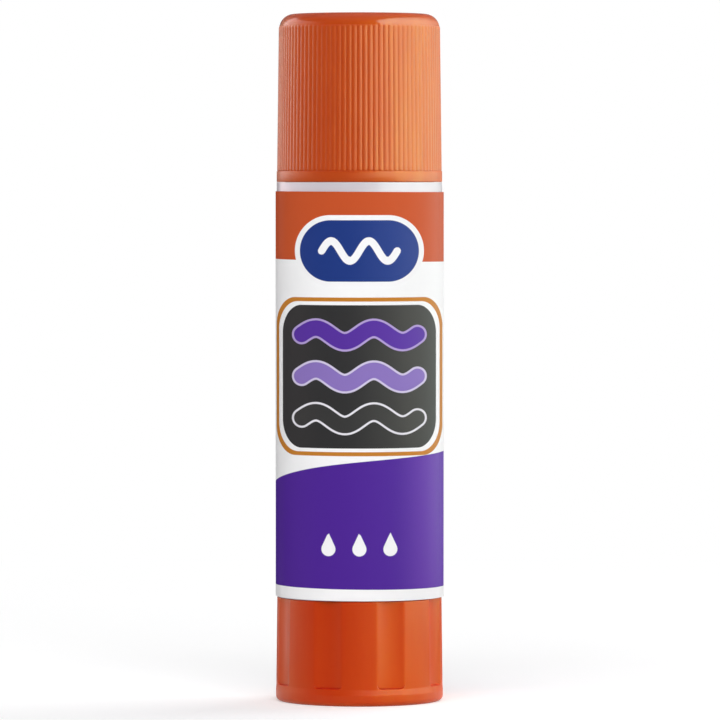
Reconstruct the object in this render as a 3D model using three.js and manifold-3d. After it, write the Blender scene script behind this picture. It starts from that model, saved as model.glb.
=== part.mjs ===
// Twist-up glue stick, in millimetres. +Z runs up the stick and the origin is the
// middle of the foot that it stands on. The stick is built closed, as it is sold:
// cap on, glue wound all the way down.
//
// From the bottom up: a turning base with a screw in its hub, a barrel that the
// base turns under, a carrier that the screw drives up the barrel, the cast glue
// that stands on the carrier, a printed label round the barrel and a push-on cap.

import * as THREE from 'three';
import { mergeVertices } from 'three/addons/utils/BufferGeometryUtils.js';
import Module from 'manifold-3d';

const wasm = await Module();
wasm.setup();

// Sizes of the bore and what grows outwards from it

const BORE_RADIUS = 10.4;
const NECK_WALL = 0.65;
const NECK_BEAD = 0.08;
const CAP_CLEARANCE = 0.1;
const CAP_WALL = 0.85;
const CAP_DRAFT = 0.28;
const BAND_PROUD = 0.04;
const LABEL_SEAT_PROUD = 0.03;
const LABEL_CLEARANCE = 0.05;
const LABEL_THICKNESS = 0.1;

// Clearances

const TURNING_CLEARANCE = 0.3;
const SLIDING_CLEARANCE = 0.25;
const SEATED_CLEARANCE = 0.15;
const THREAD_CLEARANCE = 0.3;

// Turning base

const BASE_HEIGHT = 15.6;
const BASE_INSET = 0.13;
const BASE_DRAFT = 0.16;
const BASE_WALL = 1.2;
const BASE_TOP_ROUND = 0.25;
const FOOT_FLARE = 0.12;
const FOOT_ROUND = 1.1;
const FOOT_RING_WIDTH = 1.0;
const FOOT_RECESS = 0.8;
const FOOT_PLATE = 1.4;
const FLUTE_COUNT = 8;
const FLUTE_WIDTH = 4.3;
const FLUTE_DEPTH = 0.55;
const FLUTE_SILL = 2.6;
const LIP_WALL = 1.0;
const HUB_WALL = 1.5;
const SPLINE_COUNT = 6;
const SPLINE_RADIUS = 3.3;
const SPLINE_DEPTH = 0.5;
const SOCKET_FLOOR = 4.3;

// Barrel

const SKIRT_WALL = 1.3;
const SKIRT_DEPTH = 3.1;
const FLOOR_THICKNESS = 1.5;
const BARREL_EDGE_ROUND = 0.35;
const NECK_LENGTH = 19.4;
const NECK_BEAD_WIDTH = 1.2;
const NECK_BEAD_HEIGHT = 3.2;
const MOUTH_ROUND = 0.3;
const GUIDE_COUNT = 4;
const GUIDE_WIDTH = 1.2;
const GUIDE_HEIGHT = 0.45;
const GUIDE_TO_MOUTH = 9.0;

// Label

const LABEL_TOP_MARGIN = 1.15;
const LABEL_BOTTOM_MARGIN = 0.35;

// Screw and nut

const JOURNAL_STEP = 0.6;
const FLANGE_WIDTH = 2.0;
const FLANGE_THICKNESS = 1.2;
const SCREW_RADIUS = 2.9;
const THREAD_DEPTH = 0.85;
const THREAD_LEAD = 6.0;
const THREAD_STARTS = 2;
const CREST_WIDTH = 0.6;
const FLANK_WIDTH = 0.4;
const SCREW_TIP_TAPER = 0.5;
const NUT_LENGTH = 6.0;
const NUT_WALL = 1.4;
const FLANGE_TO_NUT = 0.4;

// Carrier and glue

const PLATFORM_THICKNESS = 1.4;
const FINGER_HEIGHT = 4.4;
const FINGER_WALL = 0.8;
const FINGER_SLOT = 2.6;
const GLUE_CLEARANCE = 0.1;
const GLUE_OVER_SCREW = 8.0;
const GLUE_LENGTH = 64.1;
const GLUE_TOP_ROUND = 0.4;

// Cap

const CAP_ROOF = 1.3;
const CAP_ROUND = 2.2;
const CAP_CROWN = 0.06;
const RIB_COUNT = 96;
const RIB_DEPTH = 0.24;
const RIB_FADE = 0.35;
const RIB_OVER_ROUND = 0.35;
const BAND_HEIGHT = 1.75;
const SEAL_WALL = 0.7;
const SEAL_REACH = 1.8;
const SEAL_TO_GLUE = 1.2;
const MOUTH_TO_ROOF = 4.8;
const RIM_BEVEL = 0.3;

// Facets

const ROUND_SIDES = 48;
const SMALL_SIDES = 24;
const STEPS_PER_TURN = 12;
const ARC_STEPS = 4;

// Heights that follow from the sizes above

const barrelFoot = BASE_HEIGHT + TURNING_CLEARANCE;
const floorBottom = barrelFoot + SKIRT_DEPTH;
const floorTop = floorBottom + FLOOR_THICKNESS;
const hubTop = floorBottom - TURNING_CLEARANCE;
const flangeBottom = floorTop + SEATED_CLEARANCE;
const flangeTop = flangeBottom + FLANGE_THICKNESS;
const nutBottom = flangeTop + FLANGE_TO_NUT;
const platformBottom = nutBottom + NUT_LENGTH;
const platformTop = platformBottom + PLATFORM_THICKNESS;
const fingerTop = platformTop + FINGER_HEIGHT;
const glueBottom = platformTop + SEATED_CLEARANCE;
const glueTop = glueBottom + GLUE_LENGTH;
const screwTip = glueTop - GLUE_OVER_SCREW;
const sealBottom = glueTop + SEAL_TO_GLUE;
const mouthTop = sealBottom + SEAL_REACH;
const roofBottom = mouthTop + MOUTH_TO_ROOF;
const capTop = roofBottom + CAP_ROOF;
const guideTop = mouthTop - GUIDE_TO_MOUTH;
const shoulder = mouthTop - NECK_LENGTH;
const capRim = shoulder + TURNING_CLEARANCE;
const labelTop = shoulder - LABEL_TOP_MARGIN;
const labelBottom = barrelFoot + LABEL_BOTTOM_MARGIN;
const bandTop = capRim + BAND_HEIGHT;

// Radii that follow from the sizes above

const neckRadius = BORE_RADIUS + NECK_WALL;
const beadRadius = neckRadius + NECK_BEAD;
const capBoreRadius = beadRadius + CAP_CLEARANCE;
const capTopRadius = capBoreRadius + CAP_WALL;
const capFootRadius = capTopRadius + CAP_DRAFT;
const bandRadius = capFootRadius + BAND_PROUD;
const collarRadius = bandRadius;
const barrelRadius = collarRadius + LABEL_SEAT_PROUD;
const labelInnerRadius = barrelRadius + LABEL_CLEARANCE;
const labelRadius = labelInnerRadius + LABEL_THICKNESS;
const sealRadius = BORE_RADIUS - SLIDING_CLEARANCE;
const baseTopRadius = collarRadius - BASE_INSET;
const baseFootRadius = baseTopRadius + BASE_DRAFT;
const footRadius = baseFootRadius + FOOT_FLARE;
const skirtRadius = barrelRadius - SKIRT_WALL;
const lipRadius = skirtRadius - SLIDING_CLEARANCE;
const lipInnerRadius = lipRadius - LIP_WALL;
const baseInnerRadius = baseTopRadius - FLUTE_DEPTH - BASE_WALL;
const splineSocketRadius = SPLINE_RADIUS + SEATED_CLEARANCE;
const hubRadius = splineSocketRadius + HUB_WALL;
const journalRadius = SPLINE_RADIUS + JOURNAL_STEP;
const floorHoleRadius = journalRadius + SLIDING_CLEARANCE;
const flangeRadius = journalRadius + FLANGE_WIDTH;
const nutRadius = SCREW_RADIUS + THREAD_CLEARANCE + NUT_WALL;
const carrierRadius = BORE_RADIUS - SLIDING_CLEARANCE;
const fingerInnerRadius = carrierRadius - FINGER_WALL;
const glueRadius = BORE_RADIUS - GLUE_CLEARANCE;
const glueFootRadius = fingerInnerRadius - SEATED_CLEARANCE;
const glueBoreRadius = SCREW_RADIUS + THREAD_CLEARANCE;
const guideInnerRadius = BORE_RADIUS - GUIDE_HEIGHT;

// Solids and booleans

function solid(geometry) {
  const bare = geometry.index ? geometry.toNonIndexed() : geometry.clone();
  bare.deleteAttribute('normal');
  bare.deleteAttribute('uv');
  const merged = mergeVertices(bare, 1e-5);
  const vertProperties = Float32Array.from(merged.attributes.position.array);
  const triVerts = Uint32Array.from(merged.index.array);
  return new wasm.Manifold(new wasm.Mesh({ numProp: 3, vertProperties, triVerts }));
}

function geometryOf(manifold) {
  const mesh = manifold.getMesh();
  const geometry = new THREE.BufferGeometry();
  geometry.setAttribute('position', new THREE.Float32BufferAttribute(mesh.vertProperties, 3));
  geometry.setIndex(Array.from(mesh.triVerts));
  const flat = geometry.toNonIndexed();
  flat.computeVertexNormals();
  return flat;
}

// A profile of [radius, height] points, revolved about Z.
// A profile that leaves the axis is closed on itself.

function revolved(profile, sides) {
  const points = profile.map(([r, z]) => new THREE.Vector2(r, z));
  const onAxis = profile[0][0] === 0 && profile[profile.length - 1][0] === 0;
  if (!onAxis) points.push(points[0].clone());
  const lathe = new THREE.LatheGeometry(points, sides);
  lathe.rotateX(Math.PI / 2);
  return lathe;
}

// A flat outline of [x, y] points, raised from one height to another.

function raised(outline, bottom, top, steps = 1) {
  const shape = new THREE.Shape(outline.map(([x, y]) => new THREE.Vector2(x, y)));
  const geometry = new THREE.ExtrudeGeometry(shape, {
    depth: top - bottom,
    steps,
    bevelEnabled: false,
  });
  geometry.translate(0, 0, bottom);
  return geometry;
}

function polar(radius, angle) {
  return [radius * Math.cos(angle), radius * Math.sin(angle)];
}

// Points of a quarter round between two corner points of a profile. It leaves the
// first point along the profile's run and arrives at the second along its turn.

function quarter([r0, z0], [r1, z1], corner) {
  const points = [];
  for (let i = 0; i <= ARC_STEPS; i += 1) {
    const a = (i / ARC_STEPS) * (Math.PI / 2);
    const along = Math.sin(a);
    const across = 1 - Math.cos(a);
    const r = corner === 'out' ? r0 + (r1 - r0) * along : r0 + (r1 - r0) * across;
    const z = corner === 'out' ? z0 + (z1 - z0) * across : z0 + (z1 - z0) * along;
    points.push([r, z]);
  }
  return points;
}

// A copy of a solid at each of a number of equal steps round the axis.

function around(geometry, count, firstAngle = 0) {
  const copies = [];
  for (let i = 0; i < count; i += 1) {
    const copy = geometry.clone();
    copy.rotateZ(firstAngle + (i * 2 * Math.PI) / count);
    copies.push(solid(copy));
  }
  return copies;
}

function joined(first, others) {
  return others.reduce((whole, other) => whole.add(other), first);
}

function cut(first, others) {
  return others.reduce((whole, other) => whole.subtract(other), first);
}

// The screw's cross-section: rounded starts of a left-hand thread. Widened by the
// clearance on every side it is also the hole in the nut. Widths along the screw
// become angles, because one lead is one turn.

function threadSection(clearance) {
  const anglePerWidth = (2 * Math.PI) / THREAD_LEAD;
  const halfCrest = (CREST_WIDTH / 2 + clearance * 0.5) * anglePerWidth;
  const flank = FLANK_WIDTH * anglePerWidth;
  const pitchAngle = (2 * Math.PI) / THREAD_STARTS;
  const crest = SCREW_RADIUS + clearance;
  const root = SCREW_RADIUS - THREAD_DEPTH + clearance;
  const outline = [];
  for (let start = 0; start < THREAD_STARTS; start += 1) {
    const middle = start * pitchAngle;
    outline.push(polar(crest, middle - halfCrest));
    outline.push(polar(crest, middle));
    outline.push(polar(crest, middle + halfCrest));
    outline.push(polar(root, middle + halfCrest + flank));
    outline.push(polar(root, middle + pitchAngle / 2));
    outline.push(polar(root, middle + pitchAngle - halfCrest - flank));
  }
  return outline;
}

// A geometry mirrored in the plane y = 0, with its triangles turned to face out again.

function mirrored(geometry) {
  const flat = geometry.index ? geometry.toNonIndexed() : geometry;
  flat.scale(1, -1, 1);
  const position = flat.attributes.position;
  for (let i = 0; i < position.count; i += 3) {
    const [x, y, z] = [position.getX(i + 1), position.getY(i + 1), position.getZ(i + 1)];
    position.setXYZ(i + 1, position.getX(i + 2), position.getY(i + 2), position.getZ(i + 2));
    position.setXYZ(i + 2, x, y, z);
  }
  return flat;
}

// The section raised and twisted clockwise on its way up. It is twisted the other way
// and mirrored, so that its facets lie along the thread. Its angle depends only on its
// height, so the screw and the hole in the nut are in mesh where they meet.

function threaded(clearance, bottom, top) {
  const steps = Math.ceil(((top - bottom) / THREAD_LEAD) * STEPS_PER_TURN);
  const geometry = raised(threadSection(clearance), bottom, top, steps);
  const position = geometry.attributes.position;
  const point = new THREE.Vector3();
  const axis = new THREE.Vector3(0, 0, 1);
  for (let i = 0; i < position.count; i += 1) {
    point.fromBufferAttribute(position, i);
    point.applyAxisAngle(axis, (2 * Math.PI * (point.z - nutBottom)) / THREAD_LEAD);
    position.setXYZ(i, point.x, point.y, point.z);
  }
  return mirrored(geometry);
}

// The splined foot of the screw, and widened by a clearance the socket for it.

function splined(clearance, bottom, top) {
  const outline = [];
  const points = SPLINE_COUNT * 4;
  for (let i = 0; i < points; i += 1) {
    const deep = i % 4 > 1;
    const radius = SPLINE_RADIUS + clearance - (deep ? SPLINE_DEPTH : 0);
    outline.push(polar(radius, (i * 2 * Math.PI) / points));
  }
  return raised(outline, bottom, top);
}

// Turning base

const footRingOuter = footRadius - FOOT_ROUND;
const footRingInner = footRingOuter - FOOT_RING_WIDTH;
const footPlateTop = FOOT_RECESS + FOOT_PLATE;

const baseBody = solid(revolved([
  [0, FOOT_RECESS],
  [footRingInner, FOOT_RECESS],
  [footRingInner, 0],
  ...quarter([footRingOuter, 0], [footRadius, FOOT_ROUND], 'out'),
  [baseFootRadius, FLUTE_SILL],
  ...quarter([baseTopRadius, BASE_HEIGHT - BASE_TOP_ROUND], [baseTopRadius - BASE_TOP_ROUND, BASE_HEIGHT], 'in'),
  [lipRadius, BASE_HEIGHT],
  [lipRadius, hubTop],
  [lipInnerRadius, hubTop],
  [lipInnerRadius, BASE_HEIGHT],
  [baseInnerRadius, BASE_HEIGHT - Math.abs(baseInnerRadius - lipInnerRadius)],
  [baseInnerRadius, footPlateTop],
  [hubRadius, footPlateTop],
  [hubRadius, hubTop],
  [0, hubTop],
], ROUND_SIDES));

// Each flute is a shallow scoop whose two edges lie on the base's round side. It runs
// from the sill out through the top edge, and leans with the draft of the side.

const fluteHalf = FLUTE_WIDTH / 2;
const fluteFloor = baseTopRadius - FLUTE_DEPTH;
const fluteHollow = Math.sqrt(baseTopRadius ** 2 - fluteHalf ** 2) - fluteFloor;
const fluteOutline = [
  [footRadius + FLUTE_DEPTH, -fluteHalf],
  [footRadius + FLUTE_DEPTH, fluteHalf],
];
for (let i = 0; i <= 2 * ARC_STEPS; i += 1) {
  const across = 1 - i / ARC_STEPS;
  fluteOutline.push([fluteFloor + fluteHollow * across ** 2, across * fluteHalf]);
}

const fluteStep = (2 * Math.PI) / FLUTE_COUNT;
const fluteLean = Math.atan2(BASE_DRAFT, BASE_HEIGHT - FLUTE_SILL);
const flute = raised(fluteOutline, FLUTE_SILL, BASE_HEIGHT + FLUTE_DEPTH);
flute.translate(-baseTopRadius, 0, -BASE_HEIGHT);
flute.rotateY(-fluteLean);
flute.translate(baseTopRadius, 0, BASE_HEIGHT);
const flutes = around(flute, FLUTE_COUNT, fluteStep / 2);

const socketBottom = FOOT_RECESS + SOCKET_FLOOR;
const socket = solid(splined(SEATED_CLEARANCE, socketBottom - SEATED_CLEARANCE, hubTop + HUB_WALL));

const turningBase = cut(baseBody, [...flutes, socket]);

// Screw

const screwCore = solid(revolved([
  [0, hubTop + SEATED_CLEARANCE],
  [journalRadius, hubTop + SEATED_CLEARANCE],
  [journalRadius, flangeBottom],
  [flangeRadius, flangeBottom],
  [flangeRadius, flangeTop],
  [0, flangeTop],
], SMALL_SIDES));

const threadFoot = flangeTop - FLANGE_THICKNESS / 2;
const screwThread = solid(threaded(0, threadFoot, screwTip));
const tipEnvelope = solid(revolved([
  [0, threadFoot],
  [flangeRadius, threadFoot],
  [flangeRadius, screwTip - 2 * SCREW_TIP_TAPER],
  [SCREW_RADIUS, screwTip - 2 * SCREW_TIP_TAPER],
  [SCREW_RADIUS - SCREW_TIP_TAPER, screwTip],
  [0, screwTip],
], SMALL_SIDES));
const splineFoot = solid(splined(0, socketBottom, hubTop + 2 * SEATED_CLEARANCE));

const spindle = joined(screwCore, [screwThread.intersect(tipEnvelope), splineFoot]);

// Barrel

const beadMiddle = shoulder + NECK_BEAD_HEIGHT;
const barrelBody = solid(revolved([
  ...quarter([barrelRadius - BARREL_EDGE_ROUND, barrelFoot], [barrelRadius, barrelFoot + BARREL_EDGE_ROUND], 'out'),
  [barrelRadius, labelTop],
  [collarRadius, labelTop],
  [collarRadius, shoulder],
  [neckRadius, shoulder],
  [neckRadius, beadMiddle - NECK_BEAD_WIDTH / 2],
  [beadRadius, beadMiddle],
  [neckRadius, beadMiddle + NECK_BEAD_WIDTH / 2],
  [neckRadius, mouthTop - MOUTH_ROUND],
  [neckRadius - MOUTH_ROUND, mouthTop],
  [BORE_RADIUS, mouthTop],
  [BORE_RADIUS, floorTop],
  [floorHoleRadius, floorTop],
  [floorHoleRadius, floorBottom],
  [skirtRadius, floorBottom],
  [skirtRadius, barrelFoot],
], ROUND_SIDES));

const guideHalf = GUIDE_WIDTH / 2;
const guideBury = NECK_WALL / 2;
const guide = raised([
  [guideInnerRadius, -guideHalf],
  [BORE_RADIUS + guideBury, -guideHalf],
  [BORE_RADIUS + guideBury, guideHalf],
  [guideInnerRadius, guideHalf],
], floorTop - FLOOR_THICKNESS / 2, guideTop);
const barrel = joined(barrelBody, around(guide, GUIDE_COUNT));

// Label

const label = solid(revolved([
  [labelInnerRadius, labelBottom],
  [labelRadius, labelBottom],
  [labelRadius, labelTop],
  [labelInnerRadius, labelTop],
], ROUND_SIDES));

// Carrier: nut, platform and holding fingers, notched for the barrel's guides

const carrierBody = solid(revolved([
  [0, nutBottom],
  [nutRadius, nutBottom],
  [nutRadius, platformBottom],
  [carrierRadius, platformBottom],
  [carrierRadius, fingerTop],
  [fingerInnerRadius, fingerTop],
  [fingerInnerRadius, platformTop],
  [0, platformTop],
], ROUND_SIDES));

const notchHalf = guideHalf + SLIDING_CLEARANCE;
const notch = raised([
  [guideInnerRadius - SLIDING_CLEARANCE, -notchHalf],
  [BORE_RADIUS, -notchHalf],
  [BORE_RADIUS, notchHalf],
  [guideInnerRadius - SLIDING_CLEARANCE, notchHalf],
], platformBottom - PLATFORM_THICKNESS, fingerTop + PLATFORM_THICKNESS);
const slotHalf = FINGER_SLOT / 2;
const fingerSlot = raised([
  [fingerInnerRadius - SLIDING_CLEARANCE, -slotHalf],
  [BORE_RADIUS, -slotHalf],
  [BORE_RADIUS, slotHalf],
  [fingerInnerRadius - SLIDING_CLEARANCE, slotHalf],
], platformTop, fingerTop + PLATFORM_THICKNESS);
const nutHole = solid(threaded(THREAD_CLEARANCE, nutBottom - THREAD_DEPTH, platformTop + THREAD_DEPTH));

const carrier = cut(carrierBody, [
  ...around(notch, GUIDE_COUNT),
  ...around(fingerSlot, GUIDE_COUNT),
  nutHole,
]);

// Glue, cast round the fingers, the guides and the screw

const glueStepHeight = fingerTop + SEATED_CLEARANCE;
const glueBody = solid(revolved([
  [0, screwTip + THREAD_CLEARANCE],
  [glueBoreRadius, screwTip + THREAD_CLEARANCE],
  [glueBoreRadius, glueBottom],
  [glueFootRadius, glueBottom],
  [glueFootRadius, glueStepHeight],
  [glueRadius, glueStepHeight],
  [glueRadius, glueTop - GLUE_TOP_ROUND],
  [glueRadius - GLUE_TOP_ROUND, glueTop],
  [0, glueTop],
], ROUND_SIDES));
const groove = raised([
  [guideInnerRadius - SLIDING_CLEARANCE, -notchHalf],
  [BORE_RADIUS, -notchHalf],
  [BORE_RADIUS, notchHalf],
  [guideInnerRadius - SLIDING_CLEARANCE, notchHalf],
], glueBottom - PLATFORM_THICKNESS, guideTop + SLIDING_CLEARANCE);
const glue = cut(glueBody, around(groove, GUIDE_COUNT));

// Cap: a ribbed outside, minus the inside, plus the ring that plugs the mouth

const roundBottom = capTop - CAP_ROUND;
const ribTop = roundBottom + RIB_OVER_ROUND;
const ribBottom = bandTop;

function roundRadiusAt(height) {
  const up = (height - roundBottom) / CAP_ROUND;
  return capTopRadius - CAP_ROUND * (1 - Math.sqrt(1 - up ** 2));
}

const capRound = [];
for (let i = 1; i < ARC_STEPS; i += 1) {
  const height = roundBottom + CAP_ROUND * Math.sin((i / ARC_STEPS) * (Math.PI / 2));
  if (height > ribTop) capRound.push([roundRadiusAt(height), height]);
}

const capOutside = revolved([
  [0, capRim],
  [bandRadius - RIM_BEVEL / 2, capRim],
  [bandRadius, capRim + RIM_BEVEL],
  [bandRadius, bandTop],
  [capFootRadius, ribBottom],
  [capFootRadius, ribBottom + RIB_FADE],
  [capTopRadius, ribTop - RIB_FADE],
  [roundRadiusAt(ribTop), ribTop],
  ...capRound,
  [capTopRadius - CAP_ROUND, capTop - CAP_CROWN],
  [0, capTop],
], 2 * RIB_COUNT);

// Every second meridian of the outside sinks between the ends of the ribs.

const capPosition = capOutside.attributes.position;
const meridian = Math.PI / RIB_COUNT;
for (let i = 0; i < capPosition.count; i += 1) {
  const x = capPosition.getX(i);
  const y = capPosition.getY(i);
  const z = capPosition.getZ(i);
  const radius = Math.hypot(x, y);
  const turn = Math.round(Math.atan2(y, x) / meridian);
  const inRibs = z > ribBottom + RIB_FADE / 2 && z < ribTop - RIB_FADE / 2;
  if (inRibs && Math.abs(turn) % 2 === 1) {
    const sunk = (radius - RIB_DEPTH) / radius;
    capPosition.setXYZ(i, x * sunk, y * sunk, z);
  }
}

const insideRound = Math.max(CAP_ROUND - CAP_ROOF, RIM_BEVEL);
const capInside = solid(revolved([
  [0, capRim - RIM_BEVEL],
  [capBoreRadius + RIM_BEVEL, capRim - RIM_BEVEL],
  [capBoreRadius + RIM_BEVEL, capRim],
  [capBoreRadius, capRim + RIM_BEVEL],
  ...quarter([capBoreRadius, roofBottom - insideRound], [capBoreRadius - insideRound, roofBottom], 'in'),
  [0, roofBottom],
], ROUND_SIDES));

const sealRing = solid(revolved([
  [sealRadius, sealBottom + MOUTH_ROUND],
  [sealRadius, roofBottom + CAP_ROOF / 2],
  [sealRadius - SEAL_WALL, roofBottom + CAP_ROOF / 2],
  [sealRadius - SEAL_WALL, sealBottom],
  [sealRadius - MOUTH_ROUND, sealBottom],
], ROUND_SIDES));

const cap = solid(capOutside).subtract(capInside).add(sealRing);

// Materials and the finished stick

const orangePlastic = () => new THREE.MeshStandardMaterial({ color: 0xc9502a, roughness: 0.35, metalness: 0 });
const whitePlastic = () => new THREE.MeshStandardMaterial({ color: 0xeeeef2, roughness: 0.4, metalness: 0 });
const printedFilm = () => new THREE.MeshStandardMaterial({ color: 0xf4f4f6, roughness: 0.3, metalness: 0 });
const violetGlue = () => new THREE.MeshStandardMaterial({ color: 0x6a48b0, roughness: 0.55, metalness: 0 });

const stick = new THREE.Group();
const pieces = [
  ['turning_base', turningBase, orangePlastic()],
  ['spindle', spindle, whitePlastic()],
  ['barrel', barrel, whitePlastic()],
  ['label', label, printedFilm()],
  ['carrier', carrier, whitePlastic()],
  ['glue', glue, violetGlue()],
  ['cap', cap, orangePlastic()],
];
for (const [name, piece, material] of pieces) {
  const mesh = new THREE.Mesh(geometryOf(piece), material);
  mesh.name = name;
  stick.add(mesh);
}

export default stick;
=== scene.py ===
# %% [markdown]
# # A twist-up glue stick, dressed
#
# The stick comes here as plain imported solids. This lesson gives each of them the shape
# and the finish that the eye sees: the fine grip ribs of the cap, the scooped flutes of
# the turning base, the printed film of the label, and the waxy violet glue inside.
#
# Every piece is worked out in millimetres, in the frame of the solids: +Z runs up the
# stick, the front of the label looks along -Y, and the stick stands on the height 0.

# %% Load the frame
import math

import bmesh
import bpy
import numpy as np
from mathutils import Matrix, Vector


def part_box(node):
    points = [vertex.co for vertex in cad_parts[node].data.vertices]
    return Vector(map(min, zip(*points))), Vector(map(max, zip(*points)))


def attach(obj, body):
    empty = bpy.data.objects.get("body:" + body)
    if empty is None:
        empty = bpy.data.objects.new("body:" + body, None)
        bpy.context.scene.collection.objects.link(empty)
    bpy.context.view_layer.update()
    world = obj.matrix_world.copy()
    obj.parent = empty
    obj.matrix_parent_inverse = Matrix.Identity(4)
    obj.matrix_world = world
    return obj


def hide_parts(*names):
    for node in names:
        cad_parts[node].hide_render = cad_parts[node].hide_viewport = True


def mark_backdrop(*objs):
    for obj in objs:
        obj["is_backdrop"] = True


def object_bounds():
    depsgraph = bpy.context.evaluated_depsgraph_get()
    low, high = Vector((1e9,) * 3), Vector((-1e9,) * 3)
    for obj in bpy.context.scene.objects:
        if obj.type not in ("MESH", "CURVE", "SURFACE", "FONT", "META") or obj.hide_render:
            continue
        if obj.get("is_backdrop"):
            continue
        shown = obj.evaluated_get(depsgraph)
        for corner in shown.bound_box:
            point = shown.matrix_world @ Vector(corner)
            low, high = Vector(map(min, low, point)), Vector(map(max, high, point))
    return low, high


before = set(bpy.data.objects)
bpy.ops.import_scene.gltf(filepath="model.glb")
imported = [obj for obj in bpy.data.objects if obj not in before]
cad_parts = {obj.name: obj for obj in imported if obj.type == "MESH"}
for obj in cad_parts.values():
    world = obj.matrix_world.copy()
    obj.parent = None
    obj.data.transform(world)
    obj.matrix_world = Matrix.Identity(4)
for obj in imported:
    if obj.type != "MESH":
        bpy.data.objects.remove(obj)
cad_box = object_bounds()
MM = 0.001


def extent(node):
    """Lowest height, highest height and largest radius of a solid, in millimetres."""
    low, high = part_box(node)
    return low.z / MM, high.z / MM, high.x / MM


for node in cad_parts:
    print(node, "from %.2f to %.2f mm, radius %.2f mm" % extent(node))

# %% [markdown]
# ## Lines that are turned about the axis
#
# Nearly all of the stick was made in round moulds, so each piece starts as a line of
# radius and height, turned about the axis. A lathe or screw modifier could do that.
# Numbers in an array do it too, and then the radius can still be changed point by
# point, which is how ribs, flutes and splines are made further down.
#
# A real moulding has no sharp corner, and the thin light that runs along its small
# rounds is what makes it look moulded. So each corner of a line carries its rounding.
# A small one needs only three steps, which keeps the meshes light.

# %% Lines with rounded corners
ARC_STEPS = 6
SMALL_ARC_STEPS = 3
SMALL_ARC = 0.3
# The share of a straight run that the rounding at one of its ends may take
ARC_ROOM = 0.48


def line(*corners, closed=True):
    """Points through the corners (radius, height, rounding, step), all in millimetres.
    A step cuts the straight run to the next corner into pieces of that length."""
    places = [np.array(corner[:2], float) for corner in corners]
    arcs = []
    for i, corner in enumerate(corners):
        rounding = corner[2] if len(corner) > 2 else 0
        before, after = (places[k % len(places)] - places[i] for k in (i - 1, i + 1))
        arcs.append(corner_arc(places[i], before, after, rounding) if rounding else [places[i]])
    points = []
    for i, corner in enumerate(corners):
        points += arcs[i]
        if len(corner) > 3:
            start, end = arcs[i][-1], arcs[(i + 1) % len(arcs)][0]
            count = int(np.ceil(np.linalg.norm(end - start) / corner[3]))
            points += [start + (end - start) * k / count for k in range(1, count)]
    return np.array(points)


def corner_arc(here, before, after, rounding):
    """The arc that rounds the corner between the runs to the points before and after."""
    u, v = (d / np.linalg.norm(d) for d in (before, after))
    half = np.arccos(np.clip(u @ v, -1, 1)) / 2
    room = ARC_ROOM * min(np.linalg.norm(before), np.linalg.norm(after))
    setback = min(rounding / np.tan(half), room)
    centre = here + (u + v) / np.linalg.norm(u + v) * setback / np.cos(half)
    start, end = here + u * setback - centre, here + v * setback - centre
    sweep = np.pi - 2 * half
    steps = ARC_STEPS if rounding >= SMALL_ARC else SMALL_ARC_STEPS
    return [
        centre + (np.sin((1 - t) * sweep) * start + np.sin(t * sweep) * end) / np.sin(sweep)
        for t in np.linspace(0, 1, steps + 1)
    ]


# %% Grids of points become meshes
SHARP_ANGLE = math.radians(38)
# Points nearer than this to a radius or a height are taken to lie on it, in millimetres
HAIR = 0.01


def skin(name, grid, closed_rows=True, closed_columns=True):
    """A mesh over a grid of points in millimetres. Rows run along the line, columns run
    round the axis, and points that fall together, as on the axis, are joined."""
    rows, columns = grid.shape[:2]
    index = np.arange(rows * columns).reshape(rows, columns)
    if closed_rows:
        index = np.vstack([index, index[:1]])
    if closed_columns:
        index = np.hstack([index, index[:, :1]])
    corners = [index[:-1, :-1], index[:-1, 1:], index[1:, 1:], index[1:, :-1]]
    faces = np.stack(corners, -1).reshape(-1, 4)
    mesh = bpy.data.meshes.new(name)
    mesh.from_pydata((grid.reshape(-1, 3) * MM).tolist(), [], faces.tolist())
    work = bmesh.new()
    work.from_mesh(mesh)
    bmesh.ops.remove_doubles(work, verts=work.verts, dist=1e-8)
    loose = [edge for edge in work.edges if not edge.link_faces]
    bmesh.ops.delete(work, geom=loose, context="EDGES")
    work.to_mesh(mesh)
    work.free()
    mesh.shade_smooth()
    mesh.set_sharp_from_angle(angle=SHARP_ANGLE)
    piece = bpy.data.objects.new(name, mesh)
    bpy.context.scene.collection.objects.link(piece)
    print(name, "has", len(mesh.vertices), "points and", len(mesh.polygons), "faces")
    return piece


def turned(name, points, columns, relief=None, closed=True):
    """The line turned about the axis. Angle 0 is the front of the label, and angles grow
    towards +X. The relief gives a new radius for each radius, height and angle."""
    angle = 2 * np.pi * np.arange(columns) / columns
    radius = np.repeat(points[:, :1], columns, axis=1)
    height = np.repeat(points[:, 1:], columns, axis=1)
    if relief:
        radius = relief(radius, height, angle[None, :])
    grid = np.stack([radius * np.sin(angle), -radius * np.cos(angle), height], -1)
    return skin(name, grid, closed_rows=closed)


def ramp(value, start, end):
    """0 before start, 1 after end and a smooth step between them."""
    t = np.clip((value - start) / (end - start), 0, 1)
    return t * t * (3 - 2 * t)


def repeat(angle, count):
    """The angle from the nearest of a number of equal steps round the axis, in radians."""
    step = 2 * np.pi / count
    return (angle + step / 2) % step - step / 2


# %% [markdown]
# ## The cap
#
# On the real stick the cap is one slim moulding of orange polypropylene. Its grip is 96
# upright ribs, less than a millimetre apart. Each is a low round bead with a fine groove
# on either side. They stand on the wall between a plain band at the rim and the round of
# the top, and each ends in a rounded tip. The mould was pulled off upwards, so the wall
# leans in a little towards the top.
#
# A bump map would draw such ribs while they face the camera, but their outline would
# stay smooth and the grooves would not shade each other. Eight columns of points to each
# rib make them real. The line starts at the rim, runs up the outside and over the top,
# and comes back down the inside, round the ring that plugs the mouth of the barrel.

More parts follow.
